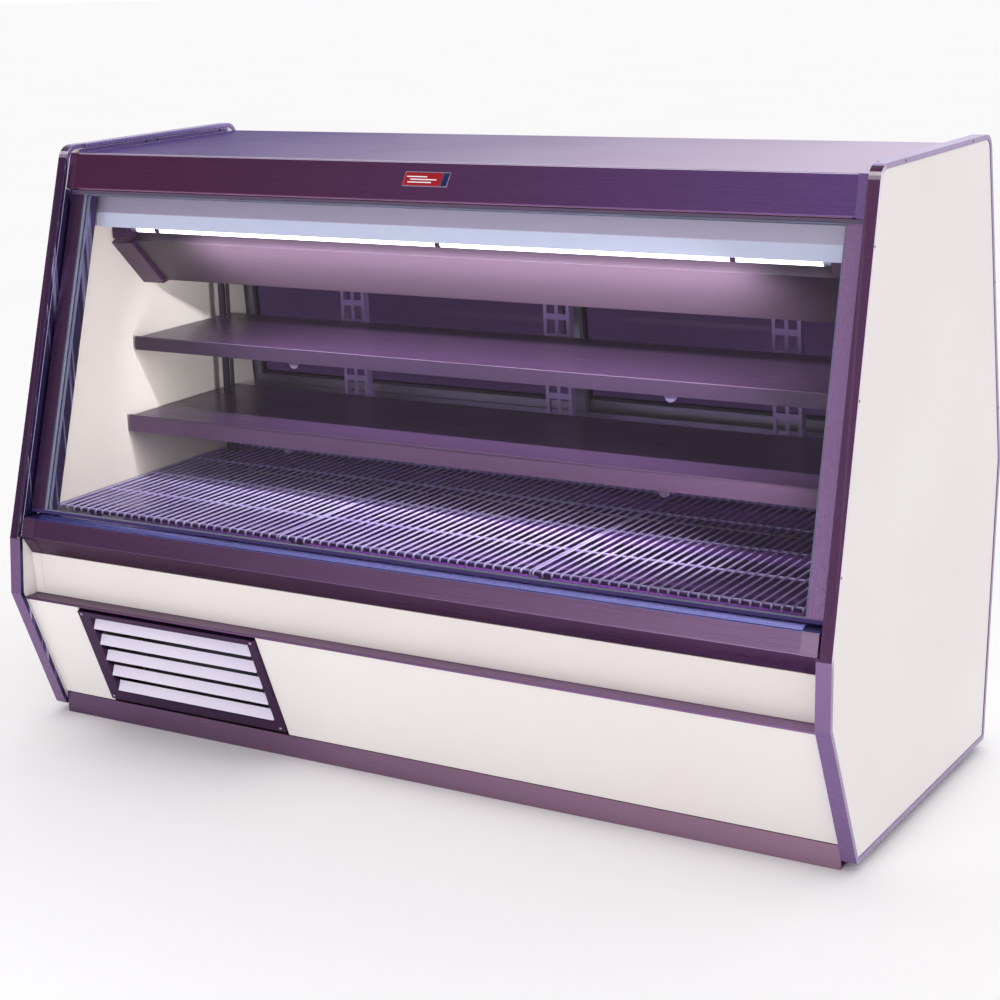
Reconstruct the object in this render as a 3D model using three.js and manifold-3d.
// Refrigerated deli case: a white and steel service counter with a sloping glass front, two shelves
// and a deck of wire racks inside, sliding doors at the back and the condensing unit underneath.
// Units are millimetres. X runs along the case, Y from the customer's side to the server's side, Z up.
// Inside the group, y is measured back from the front knee; the group shifts it to the middle.
import * as THREE from "three";
import { mergeVertices } from "three/addons/utils/BufferGeometryUtils.js";
import Module from "manifold-3d";

const wasm = await Module();
wasm.setup();

// ---- driving dimensions -------------------------------------------------------------------------
const LENGTH = 1930;
const DEPTH = 900;
const HEIGHT = 1266;
const GAP = 0.3;

// Corners of the end panels, as [y, z], going up the front, over the top and down the back.
const TOE = [115, 18];
const FRONT_KNEE = [0, 307];
const NOSE = [9, 429];
const TOP_FRONT = [255, HEIGHT];
const TOP_REAR = [840, HEIGHT];
const REAR_KNEE = [DEPTH, 592];
const HEEL = [802, 18];
const OUTLINE = [TOE, FRONT_KNEE, NOSE, TOP_FRONT, TOP_REAR, REAR_KNEE, HEEL];
const CORNER_RADII = [8, 0, 0, 36, 30, 0, 10];

const HALF = LENGTH / 2;
const END_THICK = 30;
const END_FACE = 24;
const TRIM_LIP = 10;
const SKIN_RECESS = 1.5;
const INNER = HALF - END_THICK;
const BODY_HALF = INNER - GAP;
const STEP_HALF = HALF - END_FACE - GAP;
const LINER_FACE = 919;

const BASE_TOP = 47;
const BASE_FRONT = 118;
const BASE_REAR = 790;
const BASE_HALF = 932;
const FLOOR_LOW = 345;
const FLOOR_HIGH = 395;
const DECK_FRONT = 105;
const WALL = 50;
const LEDGE_TOP = 298.5;
const LEDGE_THICK = 5.5;
const BAND_TOP = 392;
const NOSE_LOW = 434;
const NOSE_TOP = 473;
const NOSE_DEPTH = 6;
const NOSE_SKIN = 11;
const PANEL_DEPTH = 14;
const PANEL_THICK = 12;
const ROOF_TOP = 1246;
const ROOF_LOW = 1213;
const FASCIA_LOW = 1173;
const FASCIA_DEPTH = 13;
const FASCIA_REAR = 284;

const GRILLE_LEFT = -789.5;
const GRILLE_RIGHT = -309.5;
const SLATS = 5;
const SLAT_TOP = 266;
const SLAT_PITCH = 40;

const GLASS_FRONT = 26;
const GLASS_BACK = 50;
const STILE_OUT = 936;
const STILE_IN = 900;
const PANE_THICK = 6;

const DOOR_LOW = 656;
const DOOR_TOP = 68;
const DOOR_THICK = 18;
const OUTER_DOOR = 9;
const INNER_DOOR = 33;
const DOOR_LAP = 20;
const DOOR_EDGE = 932;
const DOOR_BAR = 34;

const SHELF_HALF = 912;
const PAN_HALF = 849;
const SHELF_REAR = 755;
const SHELF_SHEET = 4;
const STANDARD_Y = 762;
const STANDARD_X = [-553, 0, 553];
const STANDARD_WIDE = 66;
const STANDARD_DEEP = 20;

const SWITCH_X = 800;
const KNOB_X = 700;
const GLAND_X = 780;
const SWITCH_S = 110;
const DRAIN = [60, 470];

// ---- materials ----------------------------------------------------------------------------------
const finish = (color, roughness, metalness) => ({ color, roughness, metalness });
const PLUM_STEEL = finish(0x5c4763, 0.35, 0.85);
const ROOF_STEEL = finish(0xa294bd, 0.3, 0.85);
const WHITE = finish(0xebe7e5, 0.45, 0.0);
const CREAM = finish(0xd2c8c2, 0.5, 0.0);
const SHELF_STEEL = finish(0x8a7a90, 0.3, 0.9);
const WIRE = finish(0xa79fc0, 0.3, 0.9);
const GLASS = finish(0xcfd8e6, 0.05, 0.0);
const ALUMINIUM = finish(0x9b95a6, 0.35, 0.9);
const GALVANISED = finish(0x8d8f95, 0.5, 0.8);
const BLACK = finish(0x1c1a20, 0.6, 0.0);
const LAMP = finish(0xf4f8ff, 0.2, 0.0);
const SLAT = finish(0xe0d9ea, 0.45, 0.1);

// ---- geometry helpers ---------------------------------------------------------------------------
function solidFrom(geometry) {
  const bare = geometry.clone();
  bare.deleteAttribute("normal");
  bare.deleteAttribute("uv");
  const merged = mergeVertices(bare, 1e-4);
  return new wasm.Manifold(
    new wasm.Mesh({
      numProp: 3,
      vertProperties: new Float32Array(merged.attributes.position.array),
      triVerts: new Uint32Array(merged.index.array),
    }),
  );
}

function geometryFrom(solid) {
  const mesh = solid.getMesh();
  const geometry = new THREE.BufferGeometry();
  geometry.setAttribute("position", new THREE.BufferAttribute(mesh.vertProperties, 3));
  geometry.setIndex(new THREE.BufferAttribute(mesh.triVerts, 1));
  geometry.computeVertexNormals();
  return geometry;
}

function joined(geometries) {
  return geometryFrom(geometries.map(solidFrom).reduce((sum, next) => sum.add(next)));
}

function cut(geometry, cutters) {
  const whole = solidFrom(geometry);
  return geometryFrom(cutters.map(solidFrom).reduce((rest, next) => rest.subtract(next), whole));
}

function block(x0, x1, y0, y1, z0, z1) {
  const geometry = new THREE.BoxGeometry(x1 - x0, y1 - y0, z1 - z0);
  return geometry.translate((x0 + x1) / 2, (y0 + y1) / 2, (z0 + z1) / 2);
}

// Extrudes a closed outline of [y, z] points along X, with an optional hole that runs the same way
// round as the outline.
function sweep(points, x0, x1, hole) {
  const shape = new THREE.Shape(points.map(([y, z]) => new THREE.Vector2(y, z)));
  if (hole) shape.holes.push(new THREE.Path(hole.map(([y, z]) => new THREE.Vector2(y, z)).reverse()));
  const geometry = new THREE.ExtrudeGeometry(shape, { depth: x1 - x0, bevelEnabled: false });
  const axes = new THREE.Matrix4().makeBasis(
    new THREE.Vector3(0, 1, 0),
    new THREE.Vector3(0, 0, 1),
    new THREE.Vector3(1, 0, 0),
  );
  return geometry.applyMatrix4(axes).translate(x0, 0, 0);
}

// A cylinder between two heights on an axis through [x, y, z] along the given unit vector.
function rod(centre, direction, radius, length, sides = 24) {
  const geometry = new THREE.CylinderGeometry(radius, radius, length, sides);
  const turn = new THREE.Quaternion().setFromUnitVectors(
    new THREE.Vector3(0, 1, 0),
    new THREE.Vector3(...direction).normalize(),
  );
  return geometry.applyQuaternion(turn).translate(...centre);
}

// One straight face of the end panels' outline: s runs along it, d goes inwards from it.
function face(from, to) {
  const length = Math.hypot(to[0] - from[0], to[1] - from[1]);
  const along = [(to[0] - from[0]) / length, (to[1] - from[1]) / length];
  const inward = [along[1], -along[0]];
  const at = (s, d) => [
    from[0] + s * along[0] + d * inward[0],
    from[1] + s * along[1] + d * inward[1],
  ];
  // The point on the line at depth d that has height z.
  const atHeight = (z, d) => at((z - from[1] - d * inward[1]) / along[1], d);
  return { length, along, inward, at, atHeight };
}

const LOWER_FRONT = face(TOE, FRONT_KNEE);
const GLASS_FACE = face(NOSE, TOP_FRONT);
const DOOR_FACE = face(TOP_REAR, REAR_KNEE);
const LOWER_REAR = face(REAR_KNEE, HEEL);

// A flat plate parallel to a face, from [x0, x1] by [s0, s1] and depth d0 to d1, with windows.
function plateOn(on, x0, x1, s0, s1, d0, d1, windows = []) {
  const rectangle = (a, b, c, d) => [
    new THREE.Vector2(a, c),
    new THREE.Vector2(b, c),
    new THREE.Vector2(b, d),
    new THREE.Vector2(a, d),
  ];
  const shape = new THREE.Shape(rectangle(x0, x1, s0, s1));
  windows.forEach((w) => shape.holes.push(new THREE.Path(rectangle(...w))));
  const geometry = new THREE.ExtrudeGeometry(shape, { depth: d1 - d0, bevelEnabled: false });
  const [y, z] = on.at(0, d1);
  const axes = new THREE.Matrix4().makeBasis(
    new THREE.Vector3(1, 0, 0),
    new THREE.Vector3(0, ...on.along),
    new THREE.Vector3(0, -on.inward[0], -on.inward[1]),
  );
  return geometry.applyMatrix4(axes.setPosition(0, y, z));
}

// The end outline moved inwards by t, its corners kept as mitres and then rounded.
function insetOutline(t) {
  const count = OUTLINE.length;
  const mitred = OUTLINE.map((corner, i) => {
    const before = face(OUTLINE[(i + count - 1) % count], corner);
    const after = face(corner, OUTLINE[(i + 1) % count]);
    const sum = [before.inward[0] + after.inward[0], before.inward[1] + after.inward[1]];
    const scale = t / (1 + before.inward[0] * after.inward[0] + before.inward[1] * after.inward[1]);
    return [corner[0] + sum[0] * scale, corner[1] + sum[1] * scale];
  });
  return rounded(mitred, CORNER_RADII.map((r) => (r ? Math.max(r - t, 2) : 0)));
}

function rounded(points, radii, steps = 6) {
  const count = points.length;
  return points.flatMap((corner, i) => {
    if (!radii[i]) return [corner];
    const before = face(points[(i + count - 1) % count], corner);
    const after = face(corner, points[(i + 1) % count]);
    const turn = Math.acos(before.along[0] * after.along[0] + before.along[1] * after.along[1]);
    const reach = radii[i] * Math.tan(turn / 2);
    const centre = before.at(before.length - reach, radii[i]);
    const start = Math.atan2(-before.inward[1], -before.inward[0]);
    return Array.from({ length: steps + 1 }, (_, k) => {
      const angle = start - (turn * k) / steps;
      return [centre[0] + radii[i] * Math.cos(angle), centre[1] + radii[i] * Math.sin(angle)];
    });
  });
}

const mirrorSpan = (side, near, far) => (side > 0 ? [near, far] : [-far, -near]);
const onFace = (on, x, s, d) => [x, ...on.at(s, d)];
const outward = (on) => [0, -on.inward[0], -on.inward[1]];

// ---- assembly -----------------------------------------------------------------------------------
const deliCase = new THREE.Group();
deliCase.position.y = -DEPTH / 2;

function addPart(name, geometry, look) {
  const mesh = new THREE.Mesh(geometry, new THREE.MeshStandardMaterial(look));
  mesh.name = name;
  deliCase.add(mesh);
}

// Ends: a steel edge trim round each end, the white insulated panel in it and the inner liner.
// The trim is stepped back along the glass so that the glass frame and fascia fit inside its face.
function endStep(side) {
  const [x0, x1] = mirrorSpan(side, INNER - 1, HALF - END_FACE);
  const low = GLASS_FACE.atHeight(NOSE_LOW - 1, -5);
  const high = GLASS_FACE.atHeight(HEIGHT + 5, -5);
  const highBack = GLASS_FACE.atHeight(HEIGHT + 5, GLASS_BACK + 0.5);
  const lowBack = GLASS_FACE.atHeight(NOSE_LOW - 1, GLASS_BACK + 0.5);
  return sweep([low, lowBack, highBack, high], x0, x1);
}

function addEnd(side, word) {
  const trim = sweep(insetOutline(0), ...mirrorSpan(side, INNER, HALF), insetOutline(TRIM_LIP));
  const panel = sweep(insetOutline(TRIM_LIP + GAP), ...mirrorSpan(side, INNER + 1, HALF - SKIN_RECESS));
  addPart(`end_trim_${word}`, cut(trim, [endStep(side)]), PLUM_STEEL);
  addPart(`end_panel_${word}`, cut(panel, [endStep(side)]), WHITE);

  const postFront = GLASS_BACK + 0.8;
  const linerFront = 83;
  const behindTank = WALL + 5.5;
  const behindDoors = 58;
  const tankTop = 590;
  const doorFoot = 596;
  const postFace = 905;
  const floor = FLOOR_HIGH + GAP;
  const ceiling = ROOF_LOW - 0.5;
  const linerOutline = [
    [DECK_FRONT + 0.5, floor],
    [LOWER_REAR.atHeight(floor, behindTank)[0], floor],
    [LOWER_REAR.atHeight(tankTop, behindTank)[0], tankTop],
    [DOOR_FACE.atHeight(doorFoot, behindDoors)[0], doorFoot],
    DOOR_FACE.atHeight(ceiling, behindDoors),
    GLASS_FACE.atHeight(ceiling, linerFront),
    GLASS_FACE.atHeight(NOSE_TOP + GAP, linerFront),
    [DECK_FRONT + 0.5, NOSE_TOP + GAP],
  ];
  addPart(`end_liner_${word}`, sweep(linerOutline, ...mirrorSpan(side, LINER_FACE, BODY_HALF)), CREAM);
  const postOutline = [
    GLASS_FACE.atHeight(NOSE_TOP + GAP, postFront),
    GLASS_FACE.atHeight(NOSE_TOP + GAP, linerFront - GAP),
    GLASS_FACE.atHeight(ceiling, linerFront - GAP),
    GLASS_FACE.atHeight(ceiling, postFront),
  ];
  addPart(`front_post_${word}`, sweep(postOutline, ...mirrorSpan(side, postFace, BODY_HALF)), PLUM_STEEL);
}

// Base: a front channel that is open to the back, a rear rail and four cross bars, on the floor.
function addBase() {
  const wall = 4;
  const width = 40;
  const barLow = 6;
  const barHigh = BASE_TOP - 5;
  const endInset = 20;
  const channel = [
    [BASE_FRONT, 0],
    [BASE_FRONT + width, 0],
    [BASE_FRONT + width, wall],
    [BASE_FRONT + wall, wall],
    [BASE_FRONT + wall, BASE_TOP - wall],
    [BASE_FRONT + width, BASE_TOP - wall],
    [BASE_FRONT + width, BASE_TOP],
    [BASE_FRONT, BASE_TOP],
  ];
  const frontRail = sweep(channel, -BASE_HALF, BASE_HALF);
  const rearRail = block(-BASE_HALF, BASE_HALF, BASE_REAR - width, BASE_REAR, 0, BASE_TOP);
  const bars = [-BASE_HALF + endInset, -320, 320, BASE_HALF - endInset - width].map((x) =>
    block(x, x + width, BASE_FRONT + 2, BASE_REAR - 2, barLow, barHigh),
  );
  addPart("base_frame", joined([frontRail, rearRail, ...bars]), PLUM_STEEL);
}

// Tank: insulated floor with a drain hole, front wall and rear wall between the ends.
function addTank() {
  const drainHole = rod([...DRAIN, (FLOOR_LOW + FLOOR_HIGH) / 2], [0, 0, 1], 14, 80);
  const reach = WALL + 5.4;
  const floorOutline = [
    [DECK_FRONT + GAP, FLOOR_LOW],
    LOWER_REAR.atHeight(FLOOR_LOW, reach),
    LOWER_REAR.atHeight(FLOOR_HIGH, reach),
    [DECK_FRONT + GAP, FLOOR_HIGH],
  ];
  addPart("tank_floor", cut(sweep(floorOutline, -BODY_HALF, BODY_HALF), [drainHole]), GALVANISED);
  const wallLow = LEDGE_TOP - LEDGE_THICK;
  const wallHigh = NOSE_TOP - NOSE_SKIN;
  const frontWall = block(-BODY_HALF, BODY_HALF, DECK_FRONT - WALL, DECK_FRONT, wallLow, wallHigh);
  addPart("tank_front_wall", frontWall, GALVANISED);
  const top = 594;
  const face = 5;
  const rearOutline = [
    LOWER_REAR.atHeight(FLOOR_LOW + GAP, face),
    LOWER_REAR.atHeight(top, face),
    LOWER_REAR.atHeight(top, WALL + face),
    LOWER_REAR.atHeight(FLOOR_LOW + GAP, WALL + face),
  ];
  const pocket = plateOn(LOWER_REAR, SWITCH_X - 17, SWITCH_X + 17, SWITCH_S - 12, SWITCH_S + 12, 0, 22);
  const spindle = rod(onFace(LOWER_REAR, KNOB_X, SWITCH_S, 10), outward(LOWER_REAR), 5, 30);
  addPart("tank_rear_wall", cut(sweep(rearOutline, -BODY_HALF, BODY_HALF), [pocket, spindle]), WHITE);
}

// Controls at the back: a rocker for the lamp, tilted to its off side, and a thermostat knob.
function addControls() {
  const tilt = THREE.MathUtils.degToRad(7);
  const pivot = 10;
  const rockerWide = 30;
  const rockerOutline = [[-9, 3], [-9, -7], [9, -7], [9, 3]].map(([s, d]) =>
    LOWER_REAR.at(
      SWITCH_S + s * Math.cos(tilt) - d * Math.sin(tilt),
      pivot + s * Math.sin(tilt) + d * Math.cos(tilt),
    ),
  );
  const rocker = sweep(rockerOutline, SWITCH_X - rockerWide / 2, SWITCH_X + rockerWide / 2);
  addPart("light_rocker", rocker, BLACK);
  const knobRadius = 18;
  const pointerWide = 4;
  const knob = rod(onFace(LOWER_REAR, KNOB_X, SWITCH_S, -4), outward(LOWER_REAR), knobRadius, 16, 30);
  const spindle = rod(onFace(LOWER_REAR, KNOB_X, SWITCH_S, 8), outward(LOWER_REAR), 4, 20, 16);
  const pointer = plateOn(
    LOWER_REAR,
    KNOB_X - pointerWide / 2,
    KNOB_X + pointerWide / 2,
    SWITCH_S - knobRadius + 1,
    SWITCH_S,
    -14,
    -10,
  );
  addPart("thermostat_knob", joined([knob, spindle, pointer]), BLACK);
}

// Front: the nose rail under the glass, the recessed band, the ledge and the lower panels.
function addFront() {
  const bandFoot = LEDGE_TOP + GAP;
  const behind = DECK_FRONT - WALL - GAP;
  const bandLowY = 50;
  const bandHighY = 42;
  const ledgeFront = 14.5;
  const step = NOSE_TOP - NOSE_SKIN + GAP;
  const noseOutline = [
    GLASS_FACE.atHeight(NOSE_LOW, NOSE_DEPTH),
    [bandHighY + 2, BAND_TOP + GAP],
    [behind, BAND_TOP + GAP],
    [behind, step],
    [DECK_FRONT - GAP, step],
    [DECK_FRONT - GAP, NOSE_TOP],
    GLASS_FACE.atHeight(NOSE_TOP, NOSE_DEPTH),
  ];
  addPart("nose_rail", sweep(noseOutline, -BODY_HALF, BODY_HALF), PLUM_STEEL);
  const bandOutline = [[bandLowY, bandFoot], [behind, bandFoot], [behind, BAND_TOP], [bandHighY, BAND_TOP]];
  addPart("band_panel", sweep(bandOutline, -BODY_HALF, BODY_HALF), WHITE);
  const ledge = block(-BODY_HALF, BODY_HALF, ledgeFront, behind, LEDGE_TOP - LEDGE_THICK, LEDGE_TOP);
  addPart("front_ledge", ledge, PLUM_STEEL);
  const foot = BASE_TOP + 1;
  const head = LEDGE_TOP - LEDGE_THICK - GAP;
  const panelBack = PANEL_DEPTH + PANEL_THICK;
  const panelOutline = [
    LOWER_FRONT.atHeight(foot, PANEL_DEPTH),
    LOWER_FRONT.atHeight(foot, panelBack),
    LOWER_FRONT.atHeight(head, panelBack),
    LOWER_FRONT.atHeight(head, PANEL_DEPTH),
  ];
  addPart("lower_panel_left", sweep(panelOutline, -BODY_HALF, GRILLE_LEFT - 1), WHITE);
  addPart("lower_panel_right", sweep(panelOutline, GRILLE_RIGHT + 1, BODY_HALF), WHITE);
}

// Louvre grille: a steel frame with five tilted blades, which lifts off in front of the condenser.
function addGrille() {
  const stileLeft = 32;
  const stileRight = 20;
  const railLow = 26;
  const railHigh = 14;
  const depth = PANEL_DEPTH - 6;
  const back = PANEL_DEPTH + PANEL_THICK;
  const lowS = (BASE_TOP + 6 - TOE[1]) / LOWER_FRONT.along[1];
  const highS = (LEDGE_TOP - LEDGE_THICK - 12 - TOE[1]) / LOWER_FRONT.along[1];
  const opening = [GRILLE_LEFT + stileLeft, GRILLE_RIGHT - stileRight, lowS + railLow, highS - railHigh];
  const frame = plateOn(LOWER_FRONT, GRILLE_LEFT, GRILLE_RIGHT, lowS, highS, depth, back, [opening]);
  addPart("grille_frame", frame, PLUM_STEEL);
  const lean = 8;
  const tall = 22;
  const thick = 3;
  for (let i = 0; i < SLATS; i += 1) {
    const top = SLAT_TOP - i * SLAT_PITCH;
    const [y] = LOWER_FRONT.atHeight(top, depth + 13);
    const blade = [
      [y, top],
      [y - lean, top - tall],
      [y - lean + thick, top - tall - 1],
      [y + thick, top - 1],
    ];
    addPart(`grille_slat_${i + 1}`, sweep(blade, opening[0] + GAP, opening[1] - GAP), SLAT);
  }
}

// Canopy: the fascia over the glass and the insulated roof.
function addCanopy() {
  const skin = 10;
  const lipBack = 44;
  const underside = ROOF_TOP - 6;
  const fasciaOutline = [
    GLASS_FACE.atHeight(FASCIA_LOW, FASCIA_DEPTH),
    GLASS_FACE.atHeight(FASCIA_LOW, lipBack),
    GLASS_FACE.atHeight(FASCIA_LOW + 8, lipBack),
    GLASS_FACE.atHeight(FASCIA_LOW + 8, FASCIA_DEPTH + skin),
    GLASS_FACE.atHeight(underside, FASCIA_DEPTH + skin),
    [FASCIA_REAR, underside],
    [FASCIA_REAR, ROOF_TOP + 2],
    GLASS_FACE.atHeight(ROOF_TOP + 2, FASCIA_DEPTH),
  ];
  addPart("fascia", sweep(fasciaOutline, -STEP_HALF, STEP_HALF), PLUM_STEEL);
  const rear = DOOR_FACE.atHeight(ROOF_TOP, 3)[0];
  addPart(
    "roof_panel",
    block(-BODY_HALF, BODY_HALF, FASCIA_REAR + GAP, rear, ROOF_LOW, ROOF_TOP),
    ROOF_STEEL,
  );
}

// Glass front: a steel frame that tilts forward on its bottom edge, and the pane in it.
function addGlassFront() {
  const barLow = 6;
  const barHigh = 6;
  const clearance = 15;
  const foot = GLASS_FACE.atHeight(NOSE_TOP + 1, GLASS_BACK)[1];
  const s0 = (foot + clearance - NOSE[1]) / GLASS_FACE.along[1];
  const s1 = (FASCIA_LOW - NOSE[1]) / GLASS_FACE.along[1] + 2.5;
  const opening = [-STILE_IN, STILE_IN, s0 + barLow, s1 - barHigh];
  const frame = plateOn(GLASS_FACE, -STILE_OUT, STILE_OUT, s0, s1, GLASS_FRONT, GLASS_BACK, [opening]);
  addPart("glass_frame", frame, PLUM_STEEL);
  const paneFront = GLASS_FRONT + 8;
  addPart("front_glass", paneIn(GLASS_FACE, opening, paneFront, paneFront + PANE_THICK), GLASS);
}

// A pane that fills a frame's opening, less the gap all round.
function paneIn(on, [x0, x1, s0, s1], d0, d1) {
  return plateOn(on, x0 + GAP, x1 - GAP, s0 + GAP, s1 - GAP, d0, d1);
}

// Back: two grooved tracks and two sliding doors, the right one outside the left one.
function addDoors() {
  const groove = 16;
  const reach = 14;
  const [near, outerFrom, outerTo, innerFrom, innerTo, far] = [3, 8, 28, 32, 52, 57];
  const track = (closedS, openS) => {
    const step = closedS < openS ? 1 : -1;
    const grooveS = openS - step * groove;
    const points = [
      [closedS, near],
      [openS, near],
      [openS, outerFrom],
      [grooveS, outerFrom],
      [grooveS, outerTo],
      [openS, outerTo],
      [openS, innerFrom],
      [grooveS, innerFrom],
      [grooveS, innerTo],
      [openS, innerTo],
      [openS, far],
      [closedS, far],
    ].map(([s, d]) => DOOR_FACE.at(s, d));
    return sweep(step > 0 ? points : points.reverse(), -BODY_HALF, BODY_HALF);
  };
  addPart("door_track_top", track(DOOR_TOP - reach, DOOR_TOP + reach), PLUM_STEEL);
  addPart("door_track_bottom", track(DOOR_LOW + reach - 2, DOOR_LOW - reach), PLUM_STEEL);
  addDoor("left", -DOOR_EDGE, DOOR_LAP, INNER_DOOR, -DOOR_EDGE + 8);
  addDoor("right", -DOOR_LAP, DOOR_EDGE, OUTER_DOOR, DOOR_EDGE - 28);
}

function addDoor(word, x0, x1, depth, pullX) {
  const opening = [x0 + DOOR_BAR, x1 - DOOR_BAR, DOOR_TOP + DOOR_BAR, DOOR_LOW - DOOR_BAR];
  const frame = plateOn(DOOR_FACE, x0, x1, DOOR_TOP, DOOR_LOW, depth, depth + DOOR_THICK, [opening]);
  addPart(`door_frame_${word}`, frame, ALUMINIUM);
  addPart(`door_glass_${word}`, paneIn(DOOR_FACE, opening, depth + 4, depth + DOOR_THICK - 4), GLASS);
  const pullWide = 20;
  const pullRim = 5;
  const [pullLow, pullHigh] = [290, 440];
  const cup = [pullX + pullRim, pullX + pullWide - pullRim, pullLow + 2 * pullRim, pullHigh - 2 * pullRim];
  const span = [pullX, pullX + pullWide, pullLow, pullHigh];
  const pull = plateOn(DOOR_FACE, ...span, depth - 4.5, depth - GAP, [cup]);
  addPart(`door_pull_${word}`, pull, BLACK);
}

// Light: a valance that is upright at its foot and leans back above, the fluorescent tube behind
// it, and a slanted bracket at each end that holds the tube's socket and one end of the drip pan.
function addLight() {
  const foot = 1080;
  const bend = 1112;
  const front = 303;
  const sheet = 6;
  const head = ROOF_LOW - GAP;
  const headY = 334;
  const valance = [
    [front, foot],
    [front + sheet, foot],
    [front + sheet, bend],
    [headY + sheet + 0.5, head],
    [headY, head],
    [front, bend + 1.5],
  ];
  addPart("lamp_valance", sweep(valance, -SHELF_HALF, SHELF_HALF), WHITE);
  const [y, z] = [335, 1075];
  const end = 840;
  const socketWide = 45;
  addPart("lamp_tube", rod([0, y, z], [1, 0, 0], 8, 2 * end, 20), LAMP);
  const arm = [[344, 1038], [390, 1068], [503, 948], [444, 932]];
  [-1, 1].forEach((side) => {
    const word = side < 0 ? "left" : "right";
    const socketSpan = mirrorSpan(side, end + GAP, end + socketWide);
    const neckSpan = mirrorSpan(side, end + 15, end + socketWide);
    const socket = block(...socketSpan, y - 15, y + 15, z - 23, z + 12);
    const neck = block(...neckSpan, y - 5, y + 35, z - 30, z - 10);
    const strut = sweep(arm, ...mirrorSpan(side, PAN_HALF + 1, SHELF_HALF));
    addPart(`lamp_bracket_${word}`, joined([socket, neck, strut]), PLUM_STEEL);
  });
}

// Cooling inside: the gravity coil under the roof and the sloping pan that catches its drip.
function addCoil() {
  const pan = [
    [378, 1072], [350, 1044], [448, 940], [664, 932], [664, 985],
    [659, 985], [659, 937.5], [450.5, 945.5], [357, 1044], [381.5, 1068.5],
  ];
  addPart("coil_drip_pan", sweep(pan, -PAN_HALF, PAN_HALF), SHELF_STEEL);
  const finHalf = 800;
  const tubeHalf = 845;
  const tubeRadius = 8;
  const fins = block(-finHalf, finHalf, 450, 640, 990, 1160);
  const columns = [490, 545, 600];
  const rows = [1030, 1080, 1130];
  const tubes = columns.flatMap((y) =>
    rows.map((z) => rod([0, y, z], [1, 0, 0], tubeRadius, 2 * tubeHalf, 8)),
  );
  const hangers = [-700, 0, 700].map((x) => block(x - 15, x + 15, 530, 550, 1150, ROOF_LOW - GAP));
  addPart("evaporator_coil", joined([fins, ...tubes, ...hangers]), GALVANISED);
}

// Display: two lipped shelves on brackets, three slotted standards and three wire deck racks.
function addShelf(word, front, top, lip) {
  const rim = 8;
  const drop = 3;
  const under = top - SHELF_SHEET - drop;
  const section = [
    [front, top - lip],
    [front + SHELF_SHEET, top - lip],
    [front + SHELF_SHEET, under],
    [SHELF_REAR, under],
    [SHELF_REAR, top - drop],
    [front + rim, top - drop],
    [front + rim, top],
    [front, top],
  ];
  const armFront = front + 60;
  const armBack = STANDARD_Y - 0.5;
  const bracket = [
    [armFront, under + 1],
    [armBack, under + 1],
    [armBack, top - 70],
    [armFront, top - 22],
  ];
  const brackets = STANDARD_X.map((x) => sweep(bracket, x - 3, x + 3));
  addPart(`shelf_${word}`, joined([sweep(section, -SHELF_HALF, SHELF_HALF), ...brackets]), SHELF_STEEL);
}

function addDisplay() {
  addShelf("upper", 402, 812, 31);
  addShelf("lower", 365, 635, 38);
  const half = STANDARD_WIDE / 2;
  const back = STANDARD_Y + STANDARD_DEEP;
  STANDARD_X.forEach((x, i) => {
    const post = block(x - half, x + half, STANDARD_Y, back, FLOOR_HIGH + GAP, ROOF_LOW - GAP);
    addPart(`shelf_standard_${i + 1}`, post, SHELF_STEEL);
  });
  const racks = 3;
  const width = (2 * SHELF_HALF) / racks;
  for (let i = 0; i < racks; i += 1) {
    const left = -SHELF_HALF + i * width;
    addPart(`deck_rack_${i + 1}`, wireRack(left + 1, left + width - 1), WIRE);
  }
}

// A flat wire grid: rods run front to back and are welded to cross wires.
function wireRack(x0, x1) {
  const y0 = DECK_FRONT + 8;
  const y1 = STANDARD_Y - 6;
  const z0 = 480;
  const wire = 6;
  const rods = 18;
  const rows = 2;
  const pitch = (x1 - x0 - wire) / rods;
  const reach = (y1 - y0 - wire) / rows;
  const gaps = [];
  for (let i = 0; i < rods; i += 1) {
    for (let j = 0; j < rows; j += 1) {
      const left = x0 + i * pitch;
      const front = y0 + j * reach;
      gaps.push(block(left + wire, left + pitch, front + wire, front + reach, z0 - 1, z0 + wire + 1));
    }
  }
  return cut(block(x0, x1, y0, y1, z0, z0 + wire), gaps);
}

// Condensing unit under the tank: base plate, condenser, shroud, fan, motor and compressor.
function addCondensingUnit() {
  const centreX = -545;
  const centreZ = 168;
  const halfWide = 210;
  const coilTop = 290;
  const fanRadius = 92;
  const [left, right] = [centreX - halfWide, centreX + halfWide];
  const plate = BASE_TOP + 4;
  const foot = plate + GAP;
  addPart("unit_base", block(-800, -290, 160, 740, BASE_TOP + GAP, plate), GALVANISED);
  addPart("condenser_coil", block(left, right, 175, 225, foot, coilTop), GALVANISED);
  const throat = rod([centreX, 240, centreZ], [0, 1, 0], fanRadius + 8, 60, 32);
  const shroud = block(left, right, 226, 246, foot, coilTop);
  addPart("fan_shroud", cut(shroud, [throat]), BLACK);
  addPart("condenser_fan", fanWheel(centreX, 250, centreZ, fanRadius), ALUMINIUM);
  const motor = rod([centreX, 318, centreZ], [0, 1, 0], 42, 80, 24);
  const stand = block(centreX - 6, centreX + 6, 300, 336, foot, centreZ);
  addPart("fan_motor", joined([motor, stand]), BLACK);
  addPart("compressor", compressorShell(-600, 560, foot), BLACK);
}

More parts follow.
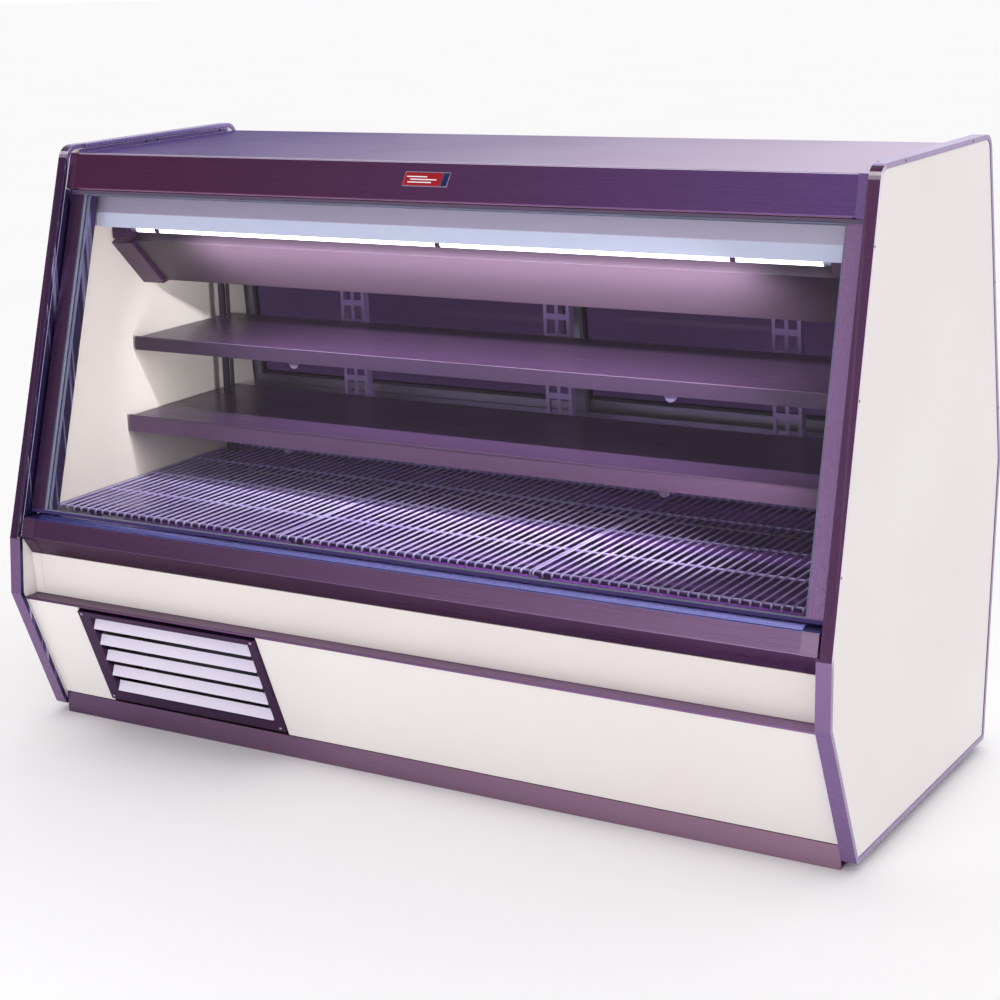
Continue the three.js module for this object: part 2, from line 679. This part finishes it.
function fanWheel(x, y, z, radius) {
  const blades = 5;
  const hubRadius = 24;
  const hub = rod([x, y, z], [0, 1, 0], hubRadius, 40, 24);
  const pitch = THREE.MathUtils.degToRad(28);
  const vanes = Array.from({ length: blades }, (_, i) => {
    const vane = new THREE.BoxGeometry(radius - 14, 2.5, 52);
    vane.translate(radius / 2 + 6, 0, 0);
    vane.rotateX(pitch);
    vane.rotateY((i * 2 * Math.PI) / blades);
    return vane.translate(x, y, z);
  });
  return joined([hub, ...vanes]);
}

function compressorShell(x, y, foot) {
  const profile = [
    [0, 0], [86, 0], [96, 12], [98, 100], [103, 101], [103, 113], [98, 114],
    [95, 165], [78, 196], [45, 212], [0, 216],
  ].map(([r, h]) => new THREE.Vector2(r, h));
  const shell = new THREE.LatheGeometry(profile, 28);
  shell.rotateX(Math.PI / 2).translate(x, y, foot + 14);
  const feet = block(x - 110, x + 110, y - 70, y + 70, foot, foot + 16);
  return joined([shell, feet]);
}

// Lower back: a removable panel with ventilation slots, a cord gland and the condensate pan.
function addLowerBack() {
  const s0 = (REAR_KNEE[1] - FLOOR_LOW + 2) / -LOWER_REAR.along[1];
  const s1 = (REAR_KNEE[1] - BASE_TOP - 2) / -LOWER_REAR.along[1];
  const slots = 7;
  const firstSlot = 40;
  const slotTall = 14;
  const slotPitch = 30;
  const windows = Array.from({ length: slots }, (_, i) => {
    const top = s0 + firstSlot + i * slotPitch;
    return [-760, -360, top, top + slotTall];
  });
  const glandS = s1 - 60;
  const onGland = (depth, radius, length, sides) =>
    rod(onFace(LOWER_REAR, GLAND_X, glandS, depth), outward(LOWER_REAR), radius, length, sides);
  const panel = plateOn(LOWER_REAR, -BODY_HALF, BODY_HALF, s0, s1, 5, 9, windows);
  addPart("rear_panel", cut(panel, [onGland(0, 11.5, 40, 24)]), WHITE);
  const body = onGland(5, 11, 34, 20);
  const flange = onGland(1.7, 16, 6, 6);
  const bore = onGland(0, 4.5, 60, 16);
  addPart("power_gland", cut(joined([body, flange]), [bore]), BLACK);
  const sheet = 4;
  const tray = block(-140, 260, 330, 610, BASE_TOP + GAP, BASE_TOP + 40);
  const hollow = block(-140 + sheet, 260 - sheet, 330 + sheet, 610 - sheet, BASE_TOP + sheet, BASE_TOP + 60);
  addPart("condensate_pan", cut(tray, [hollow]), GALVANISED);
}

addEnd(-1, "left");
addEnd(1, "right");
addBase();
addTank();
addControls();
addFront();
addGrille();
addCanopy();
addGlassFront();
addDoors();
addLight();
addCoil();
addDisplay();
addCondensingUnit();
addLowerBack();

export default deliCase;
